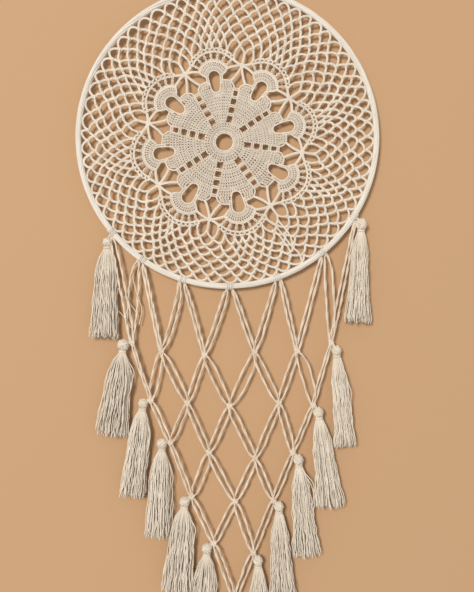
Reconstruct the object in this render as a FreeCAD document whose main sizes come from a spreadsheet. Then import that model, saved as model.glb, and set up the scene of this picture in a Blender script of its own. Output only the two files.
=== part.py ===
# Dream catcher: a crocheted doily stretched in a covered steel hoop, with a knotted cord net and
# thirteen tassels hanging from the hoop's lower half.
#
# Millimetres, +Z up. The web lies in the XZ plane and its front faces -Y. The origin is the inner edge
# of the hoop's top, where a nail or hook carries the whole piece.
import FreeCAD, Part
import math
import os
from FreeCAD import Placement, Rotation, Vector

DIMENSIONS = {
    # hoop: steel wire ring inside a crocheted cotton cover
    "hoop_radius": 149.1,          # centreline of the wire
    "wire_radius": 1.6,
    "cover_radius": 2.9,
    # lark's head knots round the hoop
    "hitch_radius": 4.2,
    "hitch_width": 8.0,            # along the hoop
    "hitch_spread": 2.7,           # from a hitch's middle to each of its two bundles
    "hitch_exit": 0.7,             # how far outside a hitch its bundles start, clear of the cover
    # doily
    "web_thickness": 1.6,
    "web_grip": 0.4,               # how far its last loops reach into the cover
    "eye_radius": 8.5,
    "medallion_across": -3.1,      # its close-worked middle sits a little off the hoop's centre
    "medallion_height": -5.1,
    "drop_distance": 61.5,
    "drop_length": 20.5,
    "drop_width": 11.5,
    "fan_centre": 66.0,            # the middle that each fan spreads from
    "fan_reach": 19.5,             # from there to the short gaps round the fan
    "fan_gap_length": 5.6,
    "fan_gap_width": 3.6,
    "fan_gap_pitch": 17.5,         # degrees about the fan's own centre
    "fan_gap_count": 7,
    "ladder_first": 24.0,          # first small hole between two petals
    "ladder_pitch": 8.8,
    "ladder_count": 4,
    "ladder_hole_radius": 2.4,
    "star_distance": 78.0,         # where the chains of each star meet
    "star_inner_length": 13.0,     # three petal-shaped openings on its inner side
    "star_inner_width": 6.4,
    "star_inner_spread": 42.0,     # degrees between them about the star
    "star_outer_length": 14.5,     # two on its outer side
    "star_outer_width": 7.4,
    "star_outer_spread": 62.0,
    "star_core": 1.8,              # from the star's centre to the point of each opening
    "net_arcs": 64,                # chain loops in each round
    "net_rounds": 7,
    "net_start": 96.5,
    "net_yarn": 2.1,               # width of the yarn between two cells
    "net_knot": 2.5,               # and of the knot at a cell's left and right corners
    # knotted net
    "cord_radius_top": 1.1,        # each strand between the hoop and the first knots
    "cord_radius": 0.95,           # each strand below them
    "cord_gap": 1.15,              # half the distance between the two strands of a pair
    "cord_layer": 1.0,             # left and right runs cross one behind the other
    "knot_radius": 3.3,
    "edge_knot_radius": 2.9,
    "knot_bite": 1.5,              # how near a run comes to the middle of a knot that it enters
    "joint_gap": 0.8,              # clearance where a run meets a knot of the part above or below
    # tassels
    "neck_radius": 3.4,
    "neck_length": 3.6,
    "tie_radius": 4.4,
    "tie_height": 3.0,
    "shoulder_radius": 8.0,
    "shoulder_drop": 14.0,
}

# Angle of each hitch from the hoop's lowest point in degrees, positive towards +X.
HITCH_ANGLES = [-50.5, -34.7, -17.4, 0.9, 19.4, 39.1, 57.8]

# Direction of each petal and star from the doily's middle, anticlockwise from +X, seen from the front.
PETAL_ANGLES = [-28.3, 14.0, 56.0, 98.9, 143.3, 190.3, 236.5, 282.7]
STAR_ANGLES = [-7.5, 34.0, 77.0, 120.0, 166.0, 213.0, 259.0, 306.0]

# Middle of each knot of the net, row by row and left to right: (across, height).
KNOT_ROWS = [
    [(-95.2, -352.6), (-66.2, -360.7), (-22.9, -364.2), (26.9, -361.2), (69.6, -360.7), (103.5, -352.1)],
    [(-76.5, -409.7), (-39.9, -412.2), (2.1, -415.2), (51.4, -412.0), (85.6, -414.3)],
    [(-56.9, -452.2), (-18.5, -461.7), (27.6, -467.4), (65.3, -461.9)],
    [(-35.4, -506.2), (7.4, -510.5), (45.6, -509.5)],
    [(-13.4, -552.6), (25.6, -561.7)],
    [(7.6, -609.2)],
]

# How far the two strands of each run bow out, to the left and to the right. Runs go left to right.
BOWS = [
    [(0.6, 3.0), (6.5, 1.0), (0.7, 0.7), (-2.0, 5.0), (0.7, 1.0), (0.6, 2.5),
     (0.8, 1.0), (0.6, 2.2), (1.0, 0.6), (0.8, 1.4), (1.5, 4.5), (0.6, 1.0)],
    [(0.3, 0.3), (3.0, 2.4), (2.0, 2.8), (1.8, 1.8), (2.8, 2.8),
     (1.4, 5.5), (3.2, 1.8), (1.8, 2.0), (2.0, 6.0), (0.5, 0.5)],
    [(0.8, 1.4), (1.4, 2.0), (2.0, 1.4), (1.8, 2.8), (2.8, 2.0), (1.0, 2.8), (1.8, 2.4), (0.8, 1.0)],
    [(0.8, 1.0), (2.4, 3.6), (2.4, 1.4), (1.8, 2.8), (2.0, 1.4), (1.0, 1.8)],
    [(1.4, 1.4), (1.8, 2.0), (1.8, 2.4), (1.4, 1.8)],
    [(1.0, 1.8), (1.8, 1.0)],
]

# Tassels: the head's middle (across, height), the head's radius, and the skirt's end (across, height,
# radius), each hanging beside the knot or hitch that carries it.
TASSELS = {
    "tassel_left_1": ((-122.9, -251.5), 4.0, (-122.9, -344.7), 14.0),
    "tassel_left_2": ((-104.1, -354.1), 5.8, (-115.4, -442.0), 16.0),
    "tassel_left_3": ((-84.3, -412.6), 5.0, (-95.9, -503.2), 11.5),
    "tassel_left_4": ((-65.4, -452.8), 5.2, (-69.4, -544.0), 12.0),
    "tassel_left_5": ((-42.7, -510.7), 5.2, (-50.7, -599.0), 16.0),
    "tassel_left_6": ((-20.5, -557.5), 5.2, (-25.5, -646.0), 14.0),
    "tassel_right_1": ((136.4, -233.2), 5.2, (131.4, -328.9), 13.0),
    "tassel_right_2": ((109.0, -359.7), 4.9, (117.3, -452.9), 10.5),
    "tassel_right_3": ((90.9, -421.4), 5.2, (103.1, -513.5), 13.5),
    "tassel_right_4": ((70.9, -468.8), 5.3, (79.0, -563.0), 13.0),
    "tassel_right_5": ((51.3, -515.6), 5.0, (56.0, -606.0), 13.0),
    "tassel_right_6": ((30.5, -569.7), 5.0, (34.0, -658.0), 12.0),
    "tassel_tip": ((9.5, -617.6), 5.3, (9.5, -707.0), 13.0),
}

FRONT_VIEW = Rotation(Vector(1, 0, 0), 90)    # local XY to the web's plane, local Z to the front
SMALLEST_BOW = 0.25
VOLUME_TOLERANCE = 0.005                      # of a strand's own volume

doc = FreeCAD.newDocument("dream_catcher")
sheet = doc.addObject("Spreadsheet::Sheet", "dimensions")


def fill_sheet():
    """One row for each driving dimension: its name, and its value under that name as an alias."""
    rows = dict(DIMENSIONS)
    for name, (head, radius, end, end_radius) in TASSELS.items():
        rows[name + "_head_radius"] = radius
        rows[name + "_end_radius"] = end_radius
        rows[name + "_length"] = round(math.dist(head, end), 2)
    for row, (name, value) in enumerate(rows.items(), start=1):
        sheet.set(f"A{row}", name)
        sheet.set(f"B{row}", str(value))
        sheet.setAlias(f"B{row}", name)
    doc.recompute()


def size(name):
    """A dimension as the sheet holds it."""
    return float(sheet.get(name))


def add(kind, name, placement=None, **expressions):
    """A document object whose properties follow the sheet."""
    thing = doc.addObject(kind, name)
    thing.Label = name
    for prop, expression in expressions.items():
        thing.setExpression(prop, expression.replace("$", "dimensions."))
    if placement is not None:
        thing.Placement = placement
    return thing


def in_web(across, height, turn=0.0, depth=0.0):
    """A placement on the web's plane: local X and Y lie in it, turned by `turn` degrees."""
    spin = Placement(Vector(), Rotation(Vector(0, 0, 1), turn))
    return Placement(Vector(across, depth, height), FRONT_VIEW) * spin


def along(across, height, towards_across, towards_height):
    """A placement whose local -Z points from one place in the web's plane to another."""
    line = Vector(across - towards_across, 0, height - towards_height)
    return Placement(Vector(across, 0, height), Rotation(Vector(0, 0, 1), line))


def group(name, solids):
    """One node of several separate solids."""
    node = doc.addObject("Part::Compound", name)
    node.Label = name
    node.Links = solids
    return node


# ---------------------------------------------------------------- hoop

def hoop_middle():
    """The hoop's centre lies one inner radius under the origin."""
    return size("cover_radius") - size("hoop_radius")


def hoop_parts():
    centre = in_web(0, hoop_middle())
    ring = add("Part::Torus", "hoop_ring", centre, Radius1="$hoop_radius", Radius2="$wire_radius")
    outside = add("Part::Torus", "cover_outside", centre, Radius1="$hoop_radius", Radius2="$cover_radius")
    hollow = add("Part::Torus", "cover_hollow", centre, Radius1="$hoop_radius", Radius2="$wire_radius")
    cover = doc.addObject("Part::Cut", "hoop_cover")
    cover.Label = "hoop_cover"
    cover.Base = outside
    cover.Tool = hollow
    return ring, cover, outside


def hitches(cover_outside):
    """A short sleeve of cord round the cover at each place where the net or a tassel hangs."""
    sleeves = []
    half_turn = math.degrees(size("hitch_width") / size("hoop_radius")) / 2
    for number, angle in enumerate(HITCH_ANGLES, start=1):
        place = in_web(0, hoop_middle(), turn=angle - 90 - half_turn)
        block = add("Part::Torus", f"hitch_block_{number}", place, Radius1="$hoop_radius",
                    Radius2="$hitch_radius", Angle3="$hitch_width / $hoop_radius * 180deg / pi")
        sleeve = doc.addObject("Part::Cut", f"hitch_{number}")
        sleeve.Base = block
        sleeve.Tool = cover_outside
        sleeves.append(sleeve)
    return group("hoop_hitches", sleeves)


# ---------------------------------------------------------------- doily

def polar(distance, angle):
    """A step in the doily's own plane."""
    turn = math.radians(angle)
    return Vector(distance * math.cos(turn), distance * math.sin(turn), 0)


def medallion():
    """The centre of the doily's close-worked middle, measured from the hoop's centre."""
    return Vector(size("medallion_across"), size("medallion_height"), 0)


def outline(points):
    return Part.makePolygon(points + points[:1])


def drop(base, near, angle, length, width):
    """A drop-shaped opening: its point lies `near` from `base`, and it rounds out in that direction."""
    radius = width / 2
    far = near + length - radius
    tip = base + polar(near, angle)
    middle = base + polar(far, angle)
    side = polar(radius, angle + 90)
    crown = Part.Arc(middle + side, base + polar(far + radius, angle), middle - side).toShape()
    left = Part.LineSegment(tip, middle + side).toShape()
    right = Part.LineSegment(middle - side, tip).toShape()
    return Part.Wire([left, crown, right])


def hole(centre, radius):
    return Part.Wire([Part.Circle(centre, Vector(0, 0, 1), radius).toShape()])


def petal_openings(middle):
    """A petal's drop-shaped hole and the short gaps round the fan that closes it."""
    length = size("drop_length")
    centre = medallion() + polar(size("fan_centre"), middle)
    gap = size("fan_gap_length")
    count = int(size("fan_gap_count"))
    openings = [drop(medallion(), size("drop_distance") - length / 2, middle, length,
                     size("drop_width"))]
    for number in range(count):
        turn = middle + (number - (count - 1) / 2) * size("fan_gap_pitch")
        openings.append(drop(centre, size("fan_reach") - gap / 2, turn, gap, size("fan_gap_width")))
    return openings


def star_openings(middle):
    """The ladder of small holes between two petals, and the star that it leads to."""
    openings = []
    for rung in range(int(size("ladder_count"))):
        distance = size("ladder_first") + rung * size("ladder_pitch")
        openings.append(hole(medallion() + polar(distance, middle), size("ladder_hole_radius")))
    star = medallion() + polar(size("star_distance"), middle)
    for side in (-1, 0, 1):
        turn = middle + 180 + side * size("star_inner_spread")
        openings.append(drop(star, size("star_core"), turn, size("star_inner_length"),
                             size("star_inner_width")))
    for side in (-0.5, 0.5):
        turn = middle + side * size("star_outer_spread")
        openings.append(drop(star, size("star_core"), turn, size("star_outer_length"),
                             size("star_outer_width")))
    return openings


def medallion_openings():
    """The openings of the close-worked middle of the doily."""
    openings = [hole(medallion(), size("eye_radius"))]
    for angle in PETAL_ANGLES:
        openings += petal_openings(angle)
    for angle in STAR_ANGLES:
        openings += star_openings(angle)
    return openings


def net_openings(rim):
    """Rounds of diamond cells, each round half a loop on from the one inside it."""
    def place(distance, turn):
        slack = (rim - distance) / (rim - size("net_start"))
        return polar(distance, turn) + medallion() * slack

    arcs = int(size("net_arcs"))
    rounds = int(size("net_rounds"))
    pitch = 360 / arcs
    depth = (rim - size("net_start")) / rounds
    margin = size("net_yarn") / 2
    knot = size("net_knot") / 2
    cells = []
    for level in range(1, rounds):
        distance = size("net_start") + level * depth
        side = pitch / 2 - math.degrees(knot / distance)
        for arc in range(arcs):
            turn = (arc + level % 2 / 2) * pitch
            cells.append(outline([place(distance - depth + margin, turn), place(distance, turn + side),
                                  place(distance + depth - margin, turn), place(distance, turn - side)]))
    return cells


def doily():
    """The whole crocheted web: one flat piece of yarn with the openings of its pattern."""
    rim = size("hoop_radius") - size("cover_radius") + size("web_grip")
    outlines = [hole(Vector(), rim)] + medallion_openings() + net_openings(rim - size("web_grip"))
    face = Part.makeFace(outlines, "Part::FaceMakerBullseye")
    thickness = size("web_thickness")
    web = doc.addObject("Part::Feature", "doily")
    web.Label = "doily"
    web.Shape = face.extrude(Vector(0, 0, thickness))
    web.Placement = in_web(0, hoop_middle(), depth=thickness / 2)
    return web


# ---------------------------------------------------------------- knotted net

def hitch_point(number, side):
    """Where a bundle leaves the hoop: side -1, 0 or 1 of the hitch's middle."""
    turn = math.radians(HITCH_ANGLES[number]) + side * size("hitch_spread") / size("hoop_radius")
    reach = size("hoop_radius") + size("hitch_radius") + size("hitch_exit")
    return reach * math.sin(turn), hoop_middle() - reach * math.cos(turn)


def strand(name, start, end, bow, radius_name, depth):
    """One strand, a shallow arc of round section from start to end that bows out by `bow`."""
    run = Vector(end[0] - start[0], end[1] - start[1], 0)
    sag = math.copysign(max(abs(bow), SMALLEST_BOW), bow)
    bend = run.Length ** 2 / (8 * abs(sag)) + abs(sag) / 2
    across = Vector(-run.y, run.x, 0).normalize() * math.copysign(1, sag)
    middle = Vector(start[0], start[1], 0) + run / 2
    centre = middle - across * (bend - abs(sag))
    half = math.degrees(math.asin(run.Length / (2 * bend)))
    first = math.degrees(math.atan2(across.y, across.x)) - half
    piece = add("Part::Torus", name, in_web(centre.x, centre.y, first, depth), Radius2="$" + radius_name)
    piece.Radius1 = bend
    piece.Angle3 = 2 * half
    return piece


def shortened(start, end, from_start, from_end):
    """A run with a length taken off each end."""
    length = math.dist(start, end)
    unit = ((end[0] - start[0]) / length, (end[1] - start[1]) / length)
    first = (start[0] + unit[0] * from_start, start[1] + unit[1] * from_start)
    last = (end[0] - unit[0] * from_end, end[1] - unit[1] * from_end)
    return first, last


def knot_size(row, column):
    """Knots at the net's edge are drawn tighter than the rest."""
    edge = column in (0, len(KNOT_ROWS[row]) - 1)
    return "edge_knot_radius" if edge else "knot_radius"


def pair_of_strands(name, start, end, bows, radius_name, depth):
    """Two strands side by side, the left one first."""
    length = math.dist(start, end)
    sideways = ((end[1] - start[1]) / length, -(end[0] - start[0]) / length)
    strands = []
    for letter, side, bow in (("a", 1, bows[0]), ("b", -1, bows[1])):
        shift = side * size("cord_gap")
        first = (start[0] + sideways[0] * shift, start[1] + sideways[1] * shift)
        last = (end[0] + sideways[0] * shift, end[1] + sideways[1] * shift)
        strands.append(strand(name + letter, first, last, -side * bow, radius_name, depth))
    return strands


def runs_of_row(row):
    """Each run of a row as (start, end, size of the knot it leaves, size of the knot it enters)."""
    runs = []
    if row == 0:
        for number in range(len(HITCH_ANGLES)):
            for side in (-1, 1):
                column = number + (side - 1) // 2
                if 0 <= column < len(KNOT_ROWS[0]):
                    runs.append((hitch_point(number, side), KNOT_ROWS[0][column], None,
                                 knot_size(0, column)))
        return runs
    for column, start in enumerate(KNOT_ROWS[row - 1]):
        for below in (column - 1, column):
            if 0 <= below < len(KNOT_ROWS[row]):
                runs.append((start, KNOT_ROWS[row][below], knot_size(row - 1, column),
                             knot_size(row, below)))
    return runs


def cord_row(row):
    """All runs of one row. Rows 1, 3 and 5 meet a knot of the hinged part above or below them."""
    radius_name = "cord_radius_top" if row == 0 else "cord_radius"
    strands = []
    for number, (start, end, leaves, enters) in enumerate(runs_of_row(row), start=1):
        off_start = 0.0 if leaves is None else size("knot_bite")
        off_end = size("knot_bite")
        if row == 0:
            off_end = size(enters) + size("joint_gap")
        elif row in (2, 4):
            off_start = size(leaves) + size("joint_gap")
        first, last = shortened(start, end, off_start, off_end)
        depth = size("cord_layer") if end[0] < start[0] else -size("cord_layer")
        strands += pair_of_strands(f"run_{row + 1}_{number}", first, last, BOWS[row][number - 1],
                                   radius_name, depth)
    return group(f"cords_row_{row + 1}", strands), strands


def knot_row(row):
    knots = []
    for column, (across, height) in enumerate(KNOT_ROWS[row]):
        place = Placement(Vector(across, 0, height), Rotation())
        knots.append(add("Part::Sphere", f"knot_{row + 1}_{column + 1}", place,
                         Radius="$" + knot_size(row, column)))
    return group(f"knots_row_{row + 1}", knots)


# ---------------------------------------------------------------- tassels

def tassel(name, head, radius, end):
    """A bundle of yarns: a round head, a tied neck, and a skirt that widens to its cut end."""
    place = along(*head, *end)

    def below(distance):
        return place * Placement(Vector(0, 0, -distance), Rotation(Vector(1, 0, 0), 180))

    top = radius + size("neck_length")
    ball = add("Part::Sphere", name + "_head", place, Radius=f"${name}_head_radius")
    neck = add("Part::Cylinder", name + "_neck", below(0), Radius="$neck_radius",
               Height=f"${name}_head_radius + $neck_length")
    shoulder = add("Part::Cone", name + "_shoulder", below(top), Radius1="$neck_radius",
                   Radius2="$shoulder_radius", Height="$shoulder_drop")
    skirt = add("Part::Cone", name + "_skirt", below(top + size("shoulder_drop")),
                Radius1="$shoulder_radius", Radius2=f"${name}_end_radius",
                Height=f"${name}_length - ${name}_head_radius - $neck_length - $shoulder_drop")
    bundle = doc.addObject("Part::MultiFuse", name)
    bundle.Label = name
    bundle.Shapes = [ball, neck, shoulder, skirt]

    band_top = radius + (size("neck_length") - size("tie_height")) / 2
    band = add("Part::Cylinder", name + "_band", below(band_top), Radius="$tie_radius",
               Height="$tie_height")
    inside = add("Part::Cylinder", name + "_band_inside", below(band_top), Radius="$neck_radius",
                 Height="$tie_height")
    tie = doc.addObject("Part::Cut", name + "_tie")
    tie.Label = name + "_tie"
    tie.Base = band
    tie.Tool = inside
    return bundle, tie


# ---------------------------------------------------------------- assembly and export

def check_strands(strands):
    """Each strand's volume is its section times its length, and its bend is never tight."""
    radii = []
    for piece in strands:
        bend = piece.Radius1.Value
        section = math.pi * piece.Radius2.Value ** 2
        expected = section * bend * math.radians(piece.Angle3.Value)
        if abs(piece.Shape.Volume - expected) > VOLUME_TOLERANCE * expected:
            raise ValueError(f"{piece.Name}: volume {piece.Shape.Volume:.1f}, expected {expected:.1f}")
        radii.append(bend)
    print(f"{len(strands)} strands, bend radii {min(radii):.0f} to {max(radii):.0f} mm")


def check_document():
    for thing in doc.Objects:
        if "Invalid" in thing.State or "Error" in thing.State:
            raise ValueError(f"{thing.Name} failed to compute")


def export(nodes):
    os.makedirs("parts", exist_ok=True)
    for node in nodes:
        shape = node.Shape
        if shape.isNull() or not shape.isValid():
            raise ValueError(f"{node.Label} has no valid shape")
        shape.exportStep(f"parts/{node.Label}.step")


fill_sheet()
ring, cover, cover_outside = hoop_parts()
nodes = [ring, cover, hitches(cover_outside), doily()]
all_strands = []
for row_number in range(len(KNOT_ROWS)):
    cords, row_strands = cord_row(row_number)
    nodes += [cords, knot_row(row_number)]
    all_strands += row_strands
for tassel_name, (head_place, head_radius, end_place, _) in TASSELS.items():
    nodes += tassel(tassel_name, head_place, head_radius, end_place)
doc.recompute()
check_document()
check_strands(all_strands)
export(nodes)
print(f"{len(nodes)} nodes written")
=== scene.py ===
"""Dream catcher: yarn, lace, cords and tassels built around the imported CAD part."""

import math

import bpy
import numpy as np
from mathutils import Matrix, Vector


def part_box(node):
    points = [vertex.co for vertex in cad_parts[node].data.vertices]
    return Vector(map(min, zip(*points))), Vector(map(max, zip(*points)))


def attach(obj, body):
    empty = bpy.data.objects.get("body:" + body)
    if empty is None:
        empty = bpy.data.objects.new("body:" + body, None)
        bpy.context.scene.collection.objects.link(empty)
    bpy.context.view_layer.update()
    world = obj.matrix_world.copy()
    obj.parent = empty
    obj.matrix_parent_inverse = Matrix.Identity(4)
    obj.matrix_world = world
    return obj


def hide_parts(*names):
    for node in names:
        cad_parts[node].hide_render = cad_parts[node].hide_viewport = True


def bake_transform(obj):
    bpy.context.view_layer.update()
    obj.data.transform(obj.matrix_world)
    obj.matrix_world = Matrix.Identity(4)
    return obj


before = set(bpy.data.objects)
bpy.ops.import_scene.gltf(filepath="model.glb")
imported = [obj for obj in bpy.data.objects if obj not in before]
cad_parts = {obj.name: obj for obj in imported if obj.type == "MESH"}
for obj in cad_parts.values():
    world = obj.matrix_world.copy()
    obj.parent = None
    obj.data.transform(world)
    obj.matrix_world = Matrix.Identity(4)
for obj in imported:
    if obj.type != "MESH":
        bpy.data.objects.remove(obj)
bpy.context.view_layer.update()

MM = 0.001
rng = np.random.default_rng(7)
TAU = 2 * math.pi
BACK = np.array([0.0, 1.0, 0.0])


# ---------------------------------------------------------------- yarn as geometry

def unit(v):
    return v / np.maximum(np.linalg.norm(v, axis=-1, keepdims=True), 1e-9)


def arc_length(paths):
    """Distance along each path to every one of its points."""
    steps = np.linalg.norm(np.diff(paths, axis=1), axis=2)
    return np.concatenate([np.zeros((len(paths), 1)), np.cumsum(steps, axis=1)], axis=1)


def sides_of(paths, closed=False):
    """Two directions square to each path at every point, carried along it without twist."""
    if closed:
        tangent = unit(np.roll(paths, -1, axis=1) - np.roll(paths, 1, axis=1))
    else:
        tangent = unit(np.gradient(paths, axis=1))
    seed = np.where(np.abs(tangent[:, 0, 1:2]) < 0.8, [[0.0, 1.0, 0.0]], [[1.0, 0.0, 0.0]])
    across = np.empty_like(paths)
    across[:, 0] = unit(seed - tangent[:, 0] * np.sum(seed * tangent[:, 0], axis=1, keepdims=True))
    for i in range(1, paths.shape[1]):
        last = across[:, i - 1]
        across[:, i] = unit(last - tangent[:, i] * np.sum(last * tangent[:, i], axis=1, keepdims=True))
    return across, np.cross(tangent, across)


def plait(paths, half_width, half_depth, pitch):
    """Three strands plaited along each path: the look of a crochet chain."""
    tangent = unit(np.gradient(paths, axis=1))
    side = unit(np.cross(tangent, BACK))
    length = arc_length(paths)
    repeats = np.maximum(np.round(length[:, -1:] / pitch), 1)
    turn = length / length[:, -1:] * repeats * TAU
    out = []
    for k in range(3):
        angle = (turn + TAU * k / 3)[..., None]
        out.append(paths + side * half_width * np.sin(angle)
                   + BACK * half_depth * np.sin(2 * angle))
    return np.concatenate(out)


class Yarn:
    """Round strands gathered into one mesh. The UV map holds (turn round the strand, mm along it)."""

    def __init__(self):
        self.parts = []
        self.count = 0

    def lay(self, paths, radius, sides=6, closed=False, shade=None):
        """Add a round strand along each path. A given shade darkens it from light 0 to dark 1 as painted
        shade; without one its tone is random.
        """
        paths = np.asarray(paths, float)
        if paths.ndim == 2:
            paths = paths[None]
        strands, points = paths.shape[:2]
        across, over = sides_of(paths, closed)
        angle = np.arange(sides) * TAU / sides
        ring = np.cos(angle)[:, None] * across[:, :, None] + np.sin(angle)[:, None] * over[:, :, None]
        radius = np.broadcast_to(np.asarray(radius, float), (strands, points))
        verts = paths[:, :, None] + radius[..., None, None] * ring
        index = np.arange(strands * points * sides).reshape(strands, points, sides) + self.count
        if closed:
            a = index
            c = np.roll(index, -1, axis=1)
        else:
            a = index[:, :-1]
            c = index[:, 1:]
        b = np.roll(a, -1, axis=2)
        d = np.roll(c, -1, axis=2)
        quads = np.stack([a, b, d, c], axis=-1).reshape(-1, 4)
        along = arc_length(paths) + rng.uniform(0, 40, (strands, 1))
        u0 = np.broadcast_to(np.arange(sides) / sides, a.shape)
        u1 = u0 + 1 / sides
        if closed:
            v0 = along
            v1 = np.concatenate([along[:, 1:], along[:, -1:] + (along[:, -1:] - along[:, -2:-1])], axis=1)
        else:
            v0 = along[:, :-1]
            v1 = along[:, 1:]
        v0 = np.broadcast_to(v0[..., None], a.shape)
        v1 = np.broadcast_to(v1[..., None], a.shape)
        uv = np.stack([np.stack([u0, v0], -1), np.stack([u1, v0], -1),
                       np.stack([u1, v1], -1), np.stack([u0, v1], -1)], axis=-2).reshape(-1, 2)
        # a strand's tone: random, or a given darkening that is painted shade
        if shade is None:
            shade = rng.uniform(0, 1, strands)
        tone_and_shade = np.broadcast_to(np.reshape(shade, (-1, 1, 1)), (strands, points, sides)).ravel()
        ends = []
        if not closed:
            ends = np.concatenate([index[:, 0, ::-1], index[:, -1]])
        self.parts.append((verts.reshape(-1, 3), quads, uv, tone_and_shade, ends))
        self.count += strands * points * sides

    def make(self, name, material):
        """One mesh object of everything laid so far."""
        verts = np.concatenate([p[0] for p in self.parts]) * MM
        quads = np.concatenate([p[1] for p in self.parts])
        uv = np.concatenate([p[2] for p in self.parts])
        tone_and_shade = np.concatenate([p[3] for p in self.parts])
        caps = [p[4] for p in self.parts if len(p[4])]
        none = np.zeros(0, int)
        cap_loops = np.concatenate([none] + [c.ravel() for c in caps])
        cap_sizes = np.concatenate([none] + [np.full(len(c), c.shape[1]) for c in caps])
        loops = np.concatenate([quads.ravel(), cap_loops])
        sizes = np.concatenate([np.full(len(quads), 4), cap_sizes])
        uv = np.concatenate([uv, np.zeros((len(cap_loops), 2))])
        mesh = bpy.data.meshes.new(name)
        mesh.vertices.add(len(verts))
        mesh.vertices.foreach_set("co", verts.ravel())
        mesh.loops.add(len(loops))
        mesh.loops.foreach_set("vertex_index", loops.astype(np.int32))
        mesh.polygons.add(len(sizes))
        mesh.polygons.foreach_set("loop_start", (np.cumsum(sizes) - sizes).astype(np.int32))
        mesh.polygons.foreach_set("use_smooth", np.ones(len(sizes), bool))
        mesh.uv_layers.new(name="strand").data.foreach_set("uv", uv.ravel())
        mesh.attributes.new("tone_and_shade", "FLOAT", "POINT").data.foreach_set("value", tone_and_shade)
        mesh.update(calc_edges=True)
        mesh.validate()
        mesh.materials.append(material)
        obj = bpy.data.objects.new(name, mesh)
        bpy.context.scene.collection.objects.link(obj)
        return obj


def web(points, depth=0.0):
    """(across, height) pairs in mm to points in space, with their depth along +Y."""
    points = np.asarray(points, float)
    depth = np.broadcast_to(np.asarray(depth, float), points.shape[:-1])
    return np.stack([points[..., 0], depth, points[..., 1]], axis=-1)


def smooth(t):
    """Eases from 0 to 1 as t does."""
    t = np.clip(t, 0, 1)
    return t * t * (3 - 2 * t)


# ---------------------------------------------------------------- materials

PLIES = 2
FUZZ = 0.35


def node(tree, kind, values=(), **props):
    made = tree.nodes.new(kind)
    for key, value in props.items():
        setattr(made, key, value)
    for key, value in dict(values).items():
        made.inputs[key].default_value = value
    return made


def maths(tree, operation, a, b=None):
    made = node(tree, "ShaderNodeMath", operation=operation)
    for socket, value in zip(made.inputs, (a, b)):
        if isinstance(value, (int, float)):
            socket.default_value = value
        elif value is not None:
            tree.links.new(value, socket)
    return made.outputs[0]


def cotton(name, light, dark, ply_pitch, twist=0.5):
    """Spun cotton: diagonal plies round each strand, fine fibres, uneven cream tones, and painted shade
    darkening the grooves between the plies.
    """
    material = bpy.data.materials.new(name)
    material.use_nodes = True
    tree = material.node_tree
    shader = tree.nodes["Principled BSDF"]
    shader.inputs["Roughness"].default_value = 0.88
    shader.inputs["Specular IOR Level"].default_value = 0.25
    shader.inputs["Sheen Weight"].default_value = 0.15
    shader.inputs["Sheen Roughness"].default_value = 0.6
    link = tree.links.new

    uv = node(tree, "ShaderNodeUVMap", uv_map="strand")
    split = node(tree, "ShaderNodeSeparateXYZ")
    link(uv.outputs["UV"], split.inputs[0])
    turns = maths(tree, "MULTIPLY", split.outputs["X"], float(PLIES))
    steps = maths(tree, "MULTIPLY", split.outputs["Y"], PLIES / ply_pitch)
    phase = maths(tree, "MULTIPLY", maths(tree, "ADD", turns, steps), TAU)
    ply = maths(tree, "ABSOLUTE", maths(tree, "SINE", maths(tree, "MULTIPLY", phase, 0.5)))

    place = node(tree, "ShaderNodeTexCoord")
    fibre = node(tree, "ShaderNodeTexNoise", {"Scale": 2600.0, "Detail": 3.0, "Roughness": 0.6})
    link(place.outputs["Object"], fibre.inputs["Vector"])
    cloud = node(tree, "ShaderNodeTexNoise", {"Scale": 60.0, "Detail": 2.0})
    link(place.outputs["Object"], cloud.inputs["Vector"])

    # per-strand tone: random tone variation, or painted shade where a shade was given
    tone_and_shade = node(tree, "ShaderNodeAttribute", attribute_name="tone_and_shade")
    amount = maths(tree, "MULTIPLY", tone_and_shade.outputs["Fac"], 0.35)
    amount = maths(tree, "ADD", amount, maths(tree, "MULTIPLY", cloud.outputs["Fac"], 0.45))
    amount = maths(tree, "ADD", amount, maths(tree, "MULTIPLY", fibre.outputs["Fac"], 0.25))
    # painted shade: the colour darkens in the grooves between the plies, where shade falls
    painted_groove_shade = maths(tree, "MULTIPLY", maths(tree, "SUBTRACT", 1.0, ply), 0.55 * twist)
    amount = maths(tree, "ADD", amount, painted_groove_shade)
    # the dark colour takes the random tone and mottling, and the painted groove shade
    colour = node(tree, "ShaderNodeMix", data_type="RGBA")
    colour.inputs["A"].default_value = (*light, 1)
    colour.inputs["B"].default_value = (*dark, 1)
    link(amount, colour.inputs["Factor"])
    link(colour.outputs["Result"], shader.inputs["Base Color"])

    height = maths(tree, "ADD", maths(tree, "MULTIPLY", ply, twist),
                   maths(tree, "MULTIPLY", fibre.outputs["Fac"], FUZZ))
    bump = node(tree, "ShaderNodeBump", {"Strength": 0.8, "Distance": 0.00025})
    link(height, bump.inputs["Height"])
    link(bump.outputs["Normal"], shader.inputs["Normal"])
    return material


LACE = cotton("lace_cotton", (0.90, 0.83, 0.72), (0.56, 0.47, 0.37), 2.2, twist=0.7)
COVER = cotton("cover_cotton", (0.82, 0.765, 0.685), (0.60, 0.535, 0.45), 3.6)
CORD = cotton("cord_cotton", (0.90, 0.785, 0.65), (0.54, 0.42, 0.30), 2.6, twist=0.8)
SKIRT = cotton("tassel_cotton", (0.92, 0.83, 0.705), (0.60, 0.51, 0.40), 2.2, twist=0.9)


# ---------------------------------------------------------------- hoop

ring_low, ring_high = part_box("hoop_ring")
HOOP_HEIGHT = (ring_low.z + ring_high.z) / 2 / MM
HOOP_RADIUS = 149.1
COVER_RADIUS = 2.9


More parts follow.
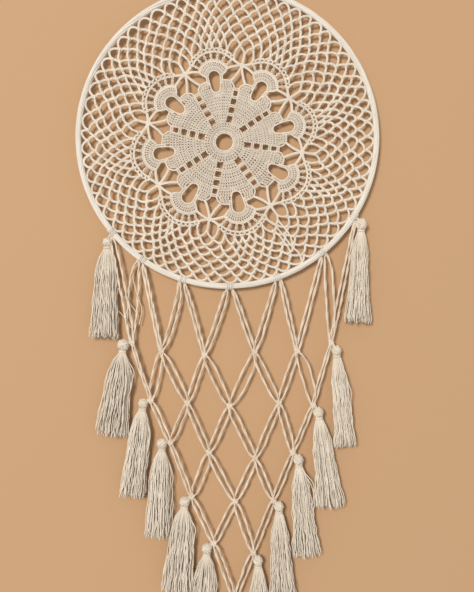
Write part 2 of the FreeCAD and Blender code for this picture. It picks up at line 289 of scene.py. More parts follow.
def on_hoop(angle, outward=0.0, depth=0.0):
    """Points beside the ring's centreline; the angle is from the lowest point towards +X."""
    reach = HOOP_RADIUS + outward
    return np.stack([reach * np.sin(angle), np.broadcast_to(depth, np.shape(angle)),
                     HOOP_HEIGHT - reach * np.cos(angle)], axis=-1)


def build_hoop():
    """The crocheted cover: a core darkened as painted shade in the gaps between the strands, and strands
    laid round it that waver a little.
    """
    strands = 11
    turns = 3
    strand_reach = 2.2
    around = np.linspace(0, TAU, 480, endpoint=False)
    yarn = Yarn()
    # painted shade: the core shows only in the gaps between the wrapped strands, so it is given a dark tone
    yarn.lay(on_hoop(around), 2.35, 10, closed=True, shade=0.8)
    for k in range(strands):
        angle = (around * turns + TAU * k / strands
                 + 0.22 * np.sin(around * 9 + k) + 0.1 * np.sin(around * 31 + 2 * k))
        path = on_hoop(around, strand_reach * np.cos(angle), strand_reach * np.sin(angle))
        yarn.lay(path, 0.75, 6, closed=True)
    cover = yarn.make("hoop_cover_yarn", COVER)
    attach(cover, "hoop")
    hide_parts("hoop_cover")


# ---------------------------------------------------------------- cords and knots

HITCH_ANGLES = np.radians([-50.5, -34.7, -17.4, 0.9, 19.4, 39.1, 57.8])
HITCH_SPREAD = 2.7

# middle of each knot, row by row and left to right: (across, height)
KNOT_ROWS = [
    [(-95.2, -352.6), (-66.2, -360.7), (-22.9, -364.2), (26.9, -361.2), (69.6, -360.7), (103.5, -352.1)],
    [(-76.5, -409.7), (-39.9, -412.2), (2.1, -415.2), (51.4, -412.0), (85.6, -414.3)],
    [(-56.9, -452.2), (-18.5, -461.7), (27.6, -467.4), (65.3, -461.9)],
    [(-35.4, -506.2), (7.4, -510.5), (45.6, -509.5)],
    [(-13.4, -552.6), (25.6, -561.7)],
    [(7.6, -609.2)],
]

# how far the two strands of each run bow out, to the left and to the right
BOWS = [
    [(0.6, 3.0), (6.5, 1.0), (0.7, 0.7), (-2.0, 5.0), (0.7, 1.0), (0.6, 2.5),
     (0.8, 1.0), (0.6, 2.2), (1.0, 0.6), (0.8, 1.4), (1.5, 4.5), (0.6, 1.0)],
    [(0.3, 0.3), (3.0, 2.4), (2.0, 2.8), (1.8, 1.8), (2.8, 2.8),
     (1.4, 5.5), (3.2, 1.8), (1.8, 2.0), (2.0, 6.0), (0.5, 0.5)],
    [(0.8, 1.4), (1.4, 2.0), (2.0, 1.4), (1.8, 2.8), (2.8, 2.0), (1.0, 2.8), (1.8, 2.4), (0.8, 1.0)],
    [(0.8, 1.0), (2.4, 3.6), (2.4, 1.4), (1.8, 2.8), (2.0, 1.4), (1.0, 1.8)],
    [(1.4, 1.4), (1.8, 2.0), (1.8, 2.4), (1.4, 1.8)],
    [(1.0, 1.8), (1.8, 1.0)],
]
ROW_BODIES = [("hoop", "fringe_upper"), "fringe_upper", ("fringe_upper", "fringe_middle"),
              "fringe_middle", ("fringe_middle", "fringe_lower"), "fringe_lower"]
KNOT_BODIES = ["fringe_upper", "fringe_upper", "fringe_middle", "fringe_middle",
               "fringe_lower", "fringe_lower"]


def hitch_point(number, side):
    """Where a hitch's left or right bundle leaves the hoop."""
    angle = HITCH_ANGLES[number] + side * HITCH_SPREAD / HOOP_RADIUS
    place = on_hoop(angle, COVER_RADIUS + 0.6)
    return place[0], place[2]


def runs_of_row(row):
    """Each run of a row as (start, end), left to right."""
    runs = []
    if row == 0:
        for number in range(len(HITCH_ANGLES)):
            for side in (-1, 1):
                column = number + (side - 1) // 2
                if 0 <= column < len(KNOT_ROWS[0]):
                    runs.append((hitch_point(number, side), KNOT_ROWS[0][column]))
        return runs
    for column, start in enumerate(KNOT_ROWS[row - 1]):
        for below in (column - 1, column):
            if 0 <= below < len(KNOT_ROWS[row]):
                runs.append((start, KNOT_ROWS[row][below]))
    return runs


def run_path(start, end, side, bow, layer, wander):
    """One strand of a pair: it leaves each knot sideways, runs beside its twin and wanders a little."""
    start = np.array(start)
    end = np.array(end)
    length = np.linalg.norm(end - start)
    along = (end - start) / length
    sideways = np.array([along[1], -along[0]]) * side
    t = (1 - np.cos(np.linspace(0, math.pi, 72))) / 2
    near_end = np.minimum(t, 1 - t) * length
    gap = 0.9 * smooth(near_end / 4.0)
    swell = bow * (1 - np.abs(2 * t - 1) ** 4.0)
    slow = wander[0] * np.sin(math.pi * t * 2 + wander[2])
    fast = wander[1] * np.sin(math.pi * t * 6 + wander[3])
    drift = (slow + fast) * smooth(near_end / 8.0)
    offset = gap + swell + drift
    flat = start + (end - start) * t[:, None] + sideways * offset[:, None]
    depth = layer * smooth(near_end / 8.0) + 0.6 * drift
    return web(flat, depth)


def cord_strands(yarn, path, radius):
    """One cord: two yarns loosely laid together, tighter in some places than in others."""
    path = path[None]
    length = arc_length(path)
    across, over = sides_of(path)
    pitch = rng.uniform(22, 38)
    start = rng.uniform(0, TAU)
    for k in range(2):
        waver = rng.uniform(0, TAU, 2)
        swell = 1 + 0.25 * np.sin(length / 5.1 + waver[0]) + 0.12 * np.sin(length / 2.3 + waver[1])
        loose = (0.58 * radius * swell)[..., None]
        angle = start + length * TAU / pitch + math.pi * k + 0.35 * np.sin(length / 9 + waver[1])
        angle = angle[..., None]
        offset = loose * (np.cos(angle) * across + 0.7 * np.sin(angle) * over)
        yarn.lay(path + offset, radius * 0.56, 7)


# loose yarns beside the first tassel on the left
LOOSE = [
    [(-114.9, -313.8), (-106.2, -323.4), (-100.5, -331.1), (-95.2, -338.5)],
    [(-110.5, -296.4), (-101.5, -308.0), (-94.7, -316.7), (-88.9, -326.0)],
    [(-88.5, -262.0), (-94.5, -283.0), (-91.5, -301.0), (-86.0, -318.0), (-88.5, -334.0)],
]


def build_runs():
    """Every pair of cords between two knots, or a hitch and a knot."""
    for row, bows in enumerate(BOWS):
        radius = 1.38 if row == 0 else 1.22
        for number, (start, end) in enumerate(runs_of_row(row)):
            layer = 1.0 if end[0] < start[0] else -1.0
            paths = []
            for side, bow in zip((-1, 1), bows[number]):
                wander = rng.uniform([-0.35, -0.2, 0, 0], [0.35, 0.2, TAU, TAU])
                paths.append(run_path(start, end, -side, bow, layer, wander))
            yarn = Yarn()
            for path in paths:
                cord_strands(yarn, path, radius)
            if row == 0 and number == 0:
                for route in LOOSE:
                    yarn.lay(web(smooth_line(np.array(route), 10), 2.2), 0.5, 6)
            piece = yarn.make(f"run_{row + 1}_{number + 1}", CORD)
            bodies = ROW_BODIES[row]
            if isinstance(bodies, tuple):
                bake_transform(piece)
            else:
                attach(piece, bodies)
            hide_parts(f"cords_row_{row + 1}")


def overhand(centre, half_width, half_height, turn):
    """The closed curve of an overhand knot seen from the front."""
    t = np.linspace(0, TAU, 72, endpoint=False)
    x = (np.sin(t) + 2 * np.sin(2 * t)) / 2.6 * half_width
    z = (np.cos(t) - 2 * np.cos(2 * t)) / 2.75 * half_height
    y = -np.sin(3 * t) * 1.15
    c, s = math.cos(turn), math.sin(turn)
    return np.stack([centre[0] + x * c - z * s, y, centre[1] + x * s + z * c], axis=-1)


def build_knots():
    for row, knots in enumerate(KNOT_ROWS):
        for column, centre in enumerate(knots):
            edge = column in (0, len(knots) - 1)
            size = 2.0 if edge else 2.2
            yarn = Yarn()
            turn = rng.uniform(-0.5, 0.5)
            yarn.lay(overhand(centre, size, size * 1.2, turn), 1.05, 8, closed=True)
            yarn.lay(overhand(centre, size * 0.72, size, turn + 2.4), 0.95, 8, closed=True)
            piece = yarn.make(f"knot_{row + 1}_{column + 1}", CORD)
            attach(piece, KNOT_BODIES[row])
            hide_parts(f"knots_row_{row + 1}")


def build_hitches():
    """Each hitch: a bundle of turns round the hoop on either side of its middle."""
    reach = COVER_RADIUS + 0.35
    for number, angle in enumerate(HITCH_ANGLES, start=1):
        yarn = Yarn()
        for side in (-1, 1):
            t = np.linspace(0, 1, 60)
            turn = t * TAU * 2 + math.pi
            place = angle + (side * (0.7 + 3.1 * t)) / HOOP_RADIUS
            yarn.lay(on_hoop(place, -reach * np.cos(turn), reach * np.sin(turn)), 0.68, 7)
        piece = yarn.make(f"hitch_{number}", COVER)
        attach(piece, "hoop")
        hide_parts("hoop_hitches")


# ---------------------------------------------------------------- tassels

# middle and radius of each head, then middle and half width of the cut end
TASSELS = {
    "tassel_left_1": ((-120.0, -251.5), 4.6, (-122.8, -344.7), 14.0),
    "tassel_left_2": ((-104.1, -354.1), 5.8, (-115.4, -442.0), 16.0),
    "tassel_left_3": ((-84.3, -412.6), 5.0, (-95.9, -503.2), 11.5),
    "tassel_left_4": ((-65.4, -452.8), 5.2, (-69.4, -544.0), 12.0),
    "tassel_left_5": ((-42.7, -510.7), 5.2, (-50.7, -599.0), 16.0),
    "tassel_left_6": ((-20.5, -557.5), 5.2, (-25.5, -646.0), 14.0),
    "tassel_right_1": ((133.8, -233.4), 5.8, (130.8, -328.9), 13.0),
    "tassel_right_2": ((109.0, -359.7), 4.9, (117.3, -452.9), 10.5),
    "tassel_right_3": ((90.9, -421.4), 5.2, (103.1, -513.5), 13.5),
    "tassel_right_4": ((70.9, -468.8), 5.3, (79.0, -563.0), 13.0),
    "tassel_right_5": ((51.3, -515.6), 5.0, (56.0, -606.0), 13.0),
    "tassel_right_6": ((30.5, -569.7), 5.0, (34.0, -658.0), 12.0),
    "tassel_tip": ((9.5, -617.6), 5.3, (9.5, -707.0), 13.0),
}
# where each tassel is tied: to the hoop, or to the knot at an end of a row
PIVOTS = {"tassel_left_1": (-115.0, -241.0), "tassel_right_1": (126.2, -225.7),
          "tassel_tip": KNOT_ROWS[-1][0]}
for row_number, row_knots in enumerate(KNOT_ROWS[:-1], start=2):
    PIVOTS[f"tassel_left_{row_number}"] = row_knots[0]
    PIVOTS[f"tassel_right_{row_number}"] = row_knots[-1]

# how many slipped yarns a tassel has
STRAYS = {"tassel_left_2": 2, "tassel_left_3": 3, "tassel_left_5": 1, "tassel_right_2": 1,
          "tassel_right_4": 2, "tassel_tip": 1}
FLATTEN = 0.62
SKIRT_YARNS = 130
LINK_RADIUS = 1.15
BINDING_REACH = 3.4


class TasselFrame:
    """The directions of one tassel: down from its head's middle, and to its right."""

    def __init__(self, head, end):
        self.head = np.array(head)
        reach = np.array(end) - self.head
        self.length = np.linalg.norm(reach)
        self.down = reach / self.length
        self.right = np.array([-self.down[1], self.down[0]])

    def place(self, distance, across, depth):
        """A place by its distance below the head's middle."""
        flat = self.head + distance[..., None] * self.down + across[..., None] * self.right
        return web(flat, depth)


def skirt(yarn, frame_of, head_radius, end_radius, fullness):
    """Loose yarns from under the head, widening to their uneven cut ends."""
    length = frame_of.length
    top = head_radius * 0.3
    waist = head_radius + 1.2
    t = np.linspace(0, 1, 40)
    count = SKIRT_YARNS
    index = np.arange(count)
    golden_angle = 2.39996
    spin = index * golden_angle + rng.uniform(0, TAU)
    spread = np.sqrt((index + 0.6) / count)
    tail = rng.normal(0, 2.2, count).clip(-7, 4)
    distance = top + (length - top + tail)[:, None] * t
    stations = [0, waist, waist + 3, waist + 9, waist + 20, 0.6 * length, length]
    swell = np.interp(distance, stations,
                      [2.8, 3.0, 4.2,
                       fullness * (0.28 * end_radius + 3.6),
                       fullness * (0.40 * end_radius + 3.8),
                       fullness * (0.66 * end_radius + 1.8),
                       end_radius - 0.2])
    fray = smooth((distance - waist) / 30)
    lean = rng.normal(0, 1.2, (count, 2))
    waves = rng.uniform(0, TAU, (count, 4))
    scale = rng.uniform(0.3, 1.0, (count, 2))
    clump = (0.9 * np.sin(spin * 3) + 0.7 * np.tanh(3 * np.cos(spin)))[:, None] * fray
    across = spread[:, None] * np.cos(spin)[:, None] * swell + clump
    depth = spread[:, None] * np.sin(spin)[:, None] * swell * FLATTEN
    curl = 0.8 * np.sin(distance / 5.0 + waves[:, :1]) + 0.4 * np.sin(distance / 2.2 + waves[:, 1:2])
    across = across + fray * (lean[:, :1] + scale[:, :1] * curl)
    depth = depth + fray * (lean[:, 1:] * 0.4 + scale[:, 1:] * 0.6 * np.sin(distance / 6.0 + waves[:, 2:3]))
    # inside the part's own depth, and clear of the wall behind
    depth = depth.clip(-9.4, 9.0)
    thick = np.interp(distance, [0, waist, waist + 10], [0.44, 0.44, 0.52])
    yarn.lay(frame_of.place(distance, across, depth), thick, 5)


def strays(yarn, frame_of, head_radius, end_radius, count):
    """Yarns that have slipped: they bulge out beside the skirt and come back to it lower down."""
    for k in range(count):
        reach = rng.uniform(0.35, 0.75) * frame_of.length
        bulge = rng.uniform(1.5, 4.0)
        t = np.linspace(0, 1, 40)
        distance = head_radius + 1.5 + reach * t
        edge = 3.0 + (0.62 * end_radius - 1.0) * smooth(t * 1.6)
        across = edge + bulge * np.sin(math.pi * t) ** 1.3 + 0.35 * np.sin(distance / 3.0)
        depth = rng.uniform(-2.0, 1.0) + 0.5 * np.sin(distance / 4.0)
        yarn.lay(frame_of.place(distance, across, depth), 0.55, 6)


def tassel_head(yarn, frame_of, head_radius, lean):
    """A core, yarns folded over it, and a band of them knotted aslant round the head."""
    t = np.linspace(0, TAU, 36, endpoint=False)
    folds = 9
    radius = head_radius - 0.85
    for k in range(folds):
        turn = math.pi * (k + 0.3) / folds
        size = radius * rng.uniform(0.94, 1.05)
        wide = size * np.sin(t)
        yarn.lay(frame_of.place(-size * np.cos(t), wide * math.cos(turn), wide * math.sin(turn)), 0.82, 6,
                 closed=True)
    for scale in (0.35, 0.7):
        ring = frame_of.place(scale * radius * np.cos(t), scale * radius * np.sin(t), 0 * t)
        yarn.lay(ring, radius * 0.4, 8, closed=True)
    for offset, tilt in ((-1.3, lean), (0.2, lean + 0.15), (1.6, lean - 0.1), (0.4, lean + 1.3)):
        normal = unit(np.array([math.sin(tilt), 0.25, math.cos(tilt)]))
        first = unit(np.cross(normal, [0.0, 1.0, 0.0]))
        second = np.cross(normal, first)
        size = math.sqrt(head_radius ** 2 - offset ** 2) - 0.1
        ring = (np.cos(t)[:, None] * first + np.sin(t)[:, None] * second) * size + normal * (offset - 0.4)
        yarn.lay(frame_of.place(-ring[:, 2], ring[:, 0], ring[:, 1]), 0.78, 7, closed=True)


def link(yarn, frame_of, pivot):
    """The two cords from the knot or hoop into the head."""
    start = np.array(pivot)
    end = frame_of.head
    t = np.linspace(0, 1, 24)
    for side in (-1, 1):
        lift = (1.6 + 0.9 * side) * 4 * t * (1 - t)
        flat = start + (end - start) * t[:, None]
        flat[:, 1] += lift
        cord_strands(yarn, web(flat, side * 0.9 * np.sin(math.pi * t)), LINK_RADIUS)


def build_tassel(name, head, head_radius, end, end_radius):
    """One tassel as a piece, and the binding round its neck as another."""
    on_left = "left" in name
    frame_of = TasselFrame(head, end)
    yarn = Yarn()
    skirt(yarn, frame_of, head_radius, end_radius, 1.0 if on_left else 0.82)
    strays(yarn, frame_of, head_radius, end_radius, STRAYS.get(name, 0))
    tassel_head(yarn, frame_of, head_radius, -0.6 if on_left else 0.6)
    link(yarn, frame_of, PIVOTS[name])
    piece = yarn.make(name + "_yarn", SKIRT)
    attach(piece, name + "_body")
    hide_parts(name)

    t = np.linspace(0, 1, 56)
    angle = t * 2.2 * TAU
    binding = Yarn()
    binding.lay(frame_of.place(head_radius - 0.1 + 1.7 * t, BINDING_REACH * np.cos(angle),
                               BINDING_REACH * 0.9 * np.sin(angle)), 0.62, 7)
    piece = binding.make(name + "_binding", SKIRT)
    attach(piece, name + "_body")
    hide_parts(name + "_tie")


# ---------------------------------------------------------------- lace

# direction of each petal and star from the middle, in degrees anticlockwise from +X
PETAL_ANGLES = [-28.3, 14.0, 56.0, 98.9, 143.3, 190.3, 236.5, 282.7]
STAR_ANGLES = [-7.5, 34.0, 77.0, 120.0, 166.0, 213.0, 259.0, 306.0]
# the medallion's middle sits off the hoop's by this much, which fades out over the net
MEDALLION = np.array([-3.1, -5.1])
NET_START = 96.5
NET_END = 146.2
STAR = 78.6
SECTORS = 8
SECTOR_DEGREES = 360 / SECTORS

# petals and stars in turn, once round and back to the first petal
HALF_STEPS = np.arange(2 * SECTORS + 1) / 2
ONCE_ROUND = [angle for pair in zip(PETAL_ANGLES, STAR_ANGLES) for angle in pair]
DIRECTIONS = np.array(ONCE_ROUND + [PETAL_ANGLES[0] + 360])


def turn_angle(u):
    """Direction in radians of sector position u: whole numbers are petals, halves are stars."""
    base = np.floor(u / SECTORS) * SECTORS
    return np.radians(np.interp(u - base, HALF_STEPS, DIRECTIONS) + base * SECTOR_DEGREES)


def lace_point(u, r, depth=0.0):
    """A place by sector position and distance from the middle, which shifts to the hoop's further out."""
    angle = turn_angle(np.asarray(u, float))
    slack = np.clip((NET_END - r) / (NET_END - NET_START), 0, 1)
    x = MEDALLION[0] * slack + r * np.cos(angle)
    z = HOOP_HEIGHT + MEDALLION[1] * slack + r * np.sin(angle)
    return web(np.stack([x, z], axis=-1), depth)


def petal_point(sector, x, y, depth=0.0):
    """A place by the petal's own axes: x outward from the medallion's middle, y anticlockwise."""
    x = np.asarray(x, float)
    y = np.asarray(y, float)
    u = sector + np.degrees(np.arctan2(y, x)) / SECTOR_DEGREES
    return lace_point(u, np.hypot(x, y), depth)


def star_point(sector, x, y, depth=0.0):
    """A place by the star's own axes: x outward from the star's middle, y anticlockwise."""
    x = STAR + np.asarray(x, float)
    r = np.hypot(x, y)
    u = sector + 0.5 + np.degrees(np.arctan2(y, x)) / SECTOR_DEGREES
    return lace_point(u, r, depth)


def chain(yarn, paths, half_width=0.86, radius=0.7, pitch=3.4):
    """A crochet chain along each path."""
    paths = np.asarray(paths)
    if paths.ndim == 2:
        paths = paths[None]
    yarn.lay(plait(paths, half_width, 0.32, pitch), radius, 6)


def squeeze(u, amount):
    """Loops stand closer over the fans than over the stars."""
    return u - amount * np.sin(TAU * u)


# the net's rounds from the fans out to the hoop
ROUND_RADII = [94.6, 102.8, 110.2, 117.5, 123.8, 130.7, 138.2, 146.0]
SQUEEZE = [0.060, 0.055, 0.046, 0.036, 0.027, 0.019, 0.012, 0.006]
LOOPS = 8
ALL_LOOPS = SECTORS * LOOPS
HALF_LOOP = 1 / LOOPS / 2
LOOP_POWER = 1.2


def round_radius(level, u):
    """How far out a round's loops peak at sector position u."""
    radius = ROUND_RADII[level]
    place = (u - np.floor(u)) * LOOPS
    near_star = np.exp(-((place - 4.0) / 0.9) ** 2)
    fan_side = np.exp(-((np.abs(place - 4.0) - 1.5) / 0.45) ** 2)
    if level == 0:
        return radius + 2.4 * np.exp(-((np.abs(place - 4.0) - 0.5) / 0.4) ** 2) - 5.4 * fan_side
    if level == 1:
        return radius + 2.2 * near_star - 1.2 * np.exp(-((np.abs(place - 4.0) - 1.0) / 0.5) ** 2)
    return radius


def stagger(level):
    """Every second round stands half a loop along."""
    return 0.5 if level % 2 == 0 else 0.0


def loop_number(level, u):
    return int(round(u * LOOPS - stagger(level))) % ALL_LOOPS


def peak_place(level, u):
    return squeeze(u, SQUEEZE[level]), round_radius(level, u)


def net_knot(at, angle):
    """The small knot where a loop is caught into the round below."""
    t = np.linspace(0, TAU, 14, endpoint=False)
    across = 1.6 * np.cos(t)
    height = 0.6 * np.cos(t)
    c, s = math.cos(angle), math.sin(angle)
    x = at[0] + (across * c - height * s)
    z = at[2] + (across * s + height * c)
    return np.stack([x, 1.05 * np.sin(t), z], axis=-1)


def build_net():
    """The net's rounds, as one Yarn for each sector."""
    shifts = []
    for _ in ROUND_RADII:
        shifts.append((rng.normal(0, 0.010, ALL_LOOPS), rng.normal(0, 0.4, ALL_LOOPS)))

    def peak(level, u):
        """A loop's peak, a little out of place. The first and last rounds keep their distance."""
        place, radius = peak_place(level, u)
        number = loop_number(level, u)
        place_shift, radius_shift = shifts[level]
        free = 0 < level < len(ROUND_RADII) - 1
        return place + place_shift[number], radius + radius_shift[number] * free

    theta = np.linspace(0, math.pi / 2, 13)
    side = np.cos(theta) ** LOOP_POWER
    rise = np.sin(theta) ** LOOP_POWER
    sector_yarn = [Yarn() for _ in range(SECTORS)]
    for level in range(1, len(ROUND_RADII)):
        paths = [[] for _ in range(SECTORS)]
        feet = [[] for _ in range(SECTORS)]
        for u in (np.arange(ALL_LOOPS) + stagger(level)) / LOOPS:
            left_u, left_r = peak(level - 1, u - HALF_LOOP)
            right_u, right_r = peak(level - 1, u + HALF_LOOP)
            top_u, top_r = peak(level, u)
            last_u = (top_u + (right_u - top_u) * side)[::-1]
            last_r = (right_r + (top_r - right_r) * rise)[::-1]
            us = np.concatenate([top_u + (left_u - top_u) * side, last_u[1:]])
            rs = np.concatenate([left_r + (top_r - left_r) * rise, last_r[1:]])
            sector = int(math.floor(u + 0.5)) % SECTORS
            paths[sector].append(lace_point(us, rs, 0.25 * (-1) ** level))
            feet[sector].append((left_u, left_r))
        for yarn, sector_paths, sector_feet in zip(sector_yarn, paths, feet):
            chain(yarn, sector_paths)
            for foot_u, foot_r in sector_feet:
                at = lace_point(foot_u, foot_r + 0.2)
                angle = turn_angle(np.asarray(foot_u)) - math.pi / 2
                yarn.lay(net_knot(at, angle), 0.88, 6, closed=True)
    return sector_yarn


POST_SIDES = 5


def posts(yarn, feet, heads, width, radius=0.45, wraps=1):
    """Crochet posts from feet to heads: two strands that pinch and swell, a third behind in the darkest
    tone as painted shade in the pinholes, and wraps.
    """
    feet = np.asarray(feet)
    heads = np.asarray(heads)
    count = 7 * (wraps + 1) + 1
    t = np.linspace(0, 1, count)
    middle = feet[:, None] + (heads - feet)[:, None] * t[:, None]
    along = unit(heads - feet)
    side = np.cross(along, BACK)[:, None]
    beat = TAU * t * (wraps + 1)
    swell = (0.25 + 0.15 * np.cos(beat)) * width
    weave = 0.35 * np.sin(beat)
    for sign in (-1, 1):
        path = middle + side * (sign * swell)[:, None] + BACK * (sign * weave)[:, None]
        yarn.lay(path, radius, POST_SIDES)
    # painted shade: a strand behind each post set to the darkest tone, so the pinholes between the strands
    # read as shadowed
    yarn.lay(middle[:, ::3] + BACK * 0.95, 0.5, POST_SIDES, shade=np.ones(len(feet)))
    angle = np.linspace(0, TAU, 12, endpoint=False)
    for k in range(wraps):
        share = (k + 1) / (wraps + 1)
        centre = feet + (heads - feet) * share
        wrap = (centre[:, None] + side * (0.33 * width * np.cos(angle))[:, None]
                + BACK * (0.72 * np.sin(angle))[:, None]
                + along[:, None] * (0.45 * np.cos(angle) * (-1) ** k)[:, None])
        yarn.lay(wrap, 0.42, POST_SIDES, closed=True)


def arc_row(yarn, sector, radius, low, high, half_width=0.42, size=0.46, zigzag=0.55, centre=0.0,
            depth=0.0):
    """A row of stitches along an arc about a point on the petal's axis, angles in radians."""
    length = abs(high - low) * radius
    a = np.linspace(low, high, max(int(length / 0.8), 8))
    r = radius + zigzag * np.cos((a - low) * radius * TAU / 3.5)
    chain(yarn, petal_point(sector, centre + r * np.cos(a), r * np.sin(a), depth), half_width, size)


# the petal's rows of posts, by their distance from the middle
ROWS = [19.5, 28.3, 37.1, 45.9, 54.2, 61.6]
HALF_SECTOR = math.pi / SECTORS
LADDER_HALF = 2.8
POST_WIDTH = 2.2
FAN = 66.0
# the petal's drop-shaped opening: where it starts, half its width, and where the posts before it end
DROP_START = 51.0
DROP_HALF = 5.75
DROP_INNER_HALF = 3.7
DROP_INNER_ROW = 50.4


def petal_posts(yarn, sector, low, low_angles, high, high_angles, width, **style):
    """Posts between two distances from the middle, their angles from the petal's axis."""
    posts(yarn, petal_point(sector, low * np.cos(low_angles), low * np.sin(low_angles)),
          petal_point(sector, high * np.cos(high_angles), high * np.sin(high_angles)), width, **style)


def build_collar(yarn, sector):
    """The eye's rim and the long posts round it."""
    arc_row(yarn, sector, 9.2, -HALF_SECTOR, HALF_SECTOR, 0.5, 0.55, 0.0)
    arc_row(yarn, sector, 10.9, -HALF_SECTOR, HALF_SECTOR, 0.45, 0.5, 0.2)
    a = (np.arange(5) - 2) / 5 * 2 * HALF_SECTOR
    petal_posts(yarn, sector, 11.6, a, 19.6, a, 2.5, radius=0.44, wraps=2)


def build_petal(yarn, sector):
    """One petal from the eye out to its shoulders, with the rungs of the ladder beside it."""
    build_collar(yarn, sector)
    for low, high, count in zip(ROWS[:4], ROWS[1:5], (6, 9, 12, 15)):
        step = (np.arange(count) - (count - 1) / 2) / ((count - 1) / 2)
        low_angles = step * (HALF_SECTOR - (LADDER_HALF + 1.1) / low)
        high_angles = step * (HALF_SECTOR - (LADDER_HALF + 1.1) / high)
        inside = np.abs(high * np.sin(high_angles)) < DROP_INNER_HALF
        ends = np.where((high > DROP_START) & inside, DROP_INNER_ROW, high)
        petal_posts(yarn, sector, low - 0.3, low_angles, ends + 0.3, high_angles, POST_WIDTH, wraps=2)
        side = HALF_SECTOR - LADDER_HALF / high
        if high < DROP_START:
            arc_row(yarn, sector, high, -side, side, depth=0.7)
        else:
            for s in (-1, 1):
                arc_row(yarn, sector, high, s * 0.08, s * side, depth=0.7)
        for shift in (-0.9, 0.9):
            rung = (LADDER_HALF + 0.8) / high
            arc_row(yarn, sector, high + shift, HALF_SECTOR - rung, HALF_SECTOR + rung, 0.42, 0.45, 0.0)
    arc_row(yarn, sector, ROWS[0], -HALF_SECTOR, HALF_SECTOR, depth=0.6)
    for s in (-1, 1):
        # the petal's two shoulders, either side of the drop
        low_angles = np.arctan2([8.2, 10.8, 13.4, 16.0], [53.5, 53.1, 52.6, 52.0]) * s
        high_angles = np.arctan2([8.2, 10.5, 12.8, 15.0], [61.0, 60.7, 59.8, 58.4]) * s
        petal_posts(yarn, sector, np.array([54.1, 54.2, 54.3, 54.4]), low_angles,
                    np.array([61.5, 61.6, 61.2, 60.3]), high_angles, POST_WIDTH, wraps=2)
        edge = [(51.4, 18.4), (54.6, 18.6), (57.6, 17.3), (59.8, 15.3), (61.0, 12.0), (61.8, 8.6),
                (62.6, 7.6)]
        curve(yarn, sector, edge, s, 0.5, 0.5)
        # a short rim beside the ladder's last hole
        curve(yarn, sector, [(43.2, 14.9), (46.8, 16.3), (51.4, 18.4)], s, 0.3, 0.45)
    # the drop's rim, and a second row beside its sides
    half = DROP_HALF + 0.8
    arc = np.radians(np.linspace(-104, 104, 30))
    inner_x = [56.0, 53.0, 51.2, 50.2]
    inner_y = np.array([5.3, 4.4, 3.2, 1.4])
    xs = np.concatenate([inner_x[::-1], FAN + half * np.cos(arc), inner_x, inner_x[-1:]])
    ys = np.concatenate([-inner_y[::-1], half * np.sin(arc), inner_y, -inner_y[-1:]])
    spread(yarn, sector, xs, ys, 0.42, 0.5)
    for s in (-1, 1):
        curve(yarn, sector, [(58.0, 6.6), (61.5, 7.7), (65.0, 8.3), (67.5, 8.1)], s, 0.42, 0.5)


def spread(yarn, sector, xs, ys, half_width, radius):
    """A chain along a line of points in the petal's axes, evenly stepped."""
    dist = np.concatenate([[0], np.cumsum(np.hypot(np.diff(xs), np.diff(ys)))])
    even = np.linspace(0, dist[-1], max(int(dist[-1] / 0.8), 8))
    place = petal_point(sector, np.interp(even, dist, xs), np.interp(even, dist, ys))
    chain(yarn, place, half_width, radius)


def curve(yarn, sector, points, mirror, half_width, radius):
    """A chain along a smooth line through a few points in the petal's axes."""
    line = smooth_line(np.array(points, float), 12)
    spread(yarn, sector, line[:, 0], line[:, 1] * mirror, half_width, radius)


def smooth_line(points, steps):
    """A smooth line through the points (Catmull-Rom)."""
    ext = np.vstack([2 * points[0] - points[1], points, 2 * points[-1] - points[-2]])
    t = np.linspace(0, 1, steps, endpoint=False)[:, None]
    out = []
    for i in range(1, len(ext) - 2):
        a, b, c, d = ext[i - 1:i + 3]
        out.append(0.5 * (2 * b + (c - a) * t + (2 * a - 5 * b + 4 * c - d) * t ** 2
                          + (3 * b - a - 3 * c + d) * t ** 3))
    return np.vstack(out + [points[-1:]])


FAN_RIM = 15.4
GAP_START = 17.6
GAP_END = 24.4
BAND = 25.4
BAND_EDGE = 28.4
GAP_PITCH = math.radians(18.3)


def fan_point(sector, reach, theta, depth=0.0):
    """A place by its distance and direction from the middle that a fan spreads from."""
    return petal_point(sector, FAN + reach * np.cos(theta), reach * np.sin(theta), depth)


